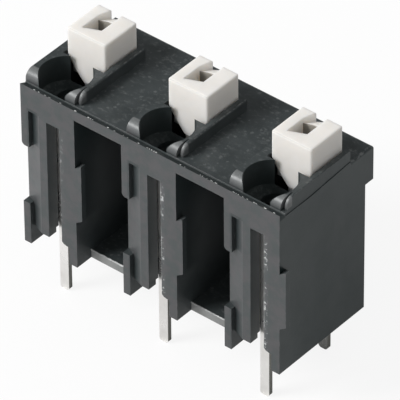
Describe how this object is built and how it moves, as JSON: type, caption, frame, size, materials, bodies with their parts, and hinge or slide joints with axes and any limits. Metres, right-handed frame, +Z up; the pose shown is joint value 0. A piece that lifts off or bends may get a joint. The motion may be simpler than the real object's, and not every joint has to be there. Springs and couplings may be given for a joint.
{
  "type": "pcb spring terminal block",
  "caption": "Board-mounted terminal block whose spring clamps take wires from above, with a push button behind each wire entry and flat solder pins below.",
  "frame": {"origin": "middle of the block's footprint, level with the tips of the solder pins", "axes": "+X along the row of poles, +Y from the front face with the slots to the back, +Z up from the board to the buttons"},
  "size_m": [0.0194, 0.0084, 0.017],
  "materials": {
    "housing_plastic": "satin moulded glass-filled polyamide",
    "button_plastic": "semi-matt off-white polyamide",
    "tinned_strip": "bright tin plating",
    "spring_steel": "rolled stainless spring strip"
  },
  "bodies": {
    "block": {"housing": "housing_plastic", "current_bar_1": "tinned_strip", "clamp_spring_1": "spring_steel", "current_bar_2": "tinned_strip", "clamp_spring_2": "spring_steel", "current_bar_3": "tinned_strip", "clamp_spring_3": "spring_steel"},
    "button_1": {"release_button_1": "button_plastic"},
    "button_2": {"release_button_2": "button_plastic"},
    "button_3": {"release_button_3": "button_plastic"}
  },
  "joints": [
    {"name": "button_1_press", "type": "slide", "parent": "block", "child": "button_1", "axis": [0, 0, -1], "range_m": [0, 0.0012], "stiffness_N_per_m": 6000, "deforming": ["clamp_spring_1"]},
    {"name": "button_2_press", "type": "slide", "parent": "block", "child": "button_2", "axis": [0, 0, -1], "range_m": [0, 0.0012], "stiffness_N_per_m": 6000, "deforming": ["clamp_spring_2"]},
    {"name": "button_3_press", "type": "slide", "parent": "block", "child": "button_3", "axis": [0, 0, -1], "range_m": [0, 0.0012], "stiffness_N_per_m": 6000, "deforming": ["clamp_spring_3"]}
  ]
}
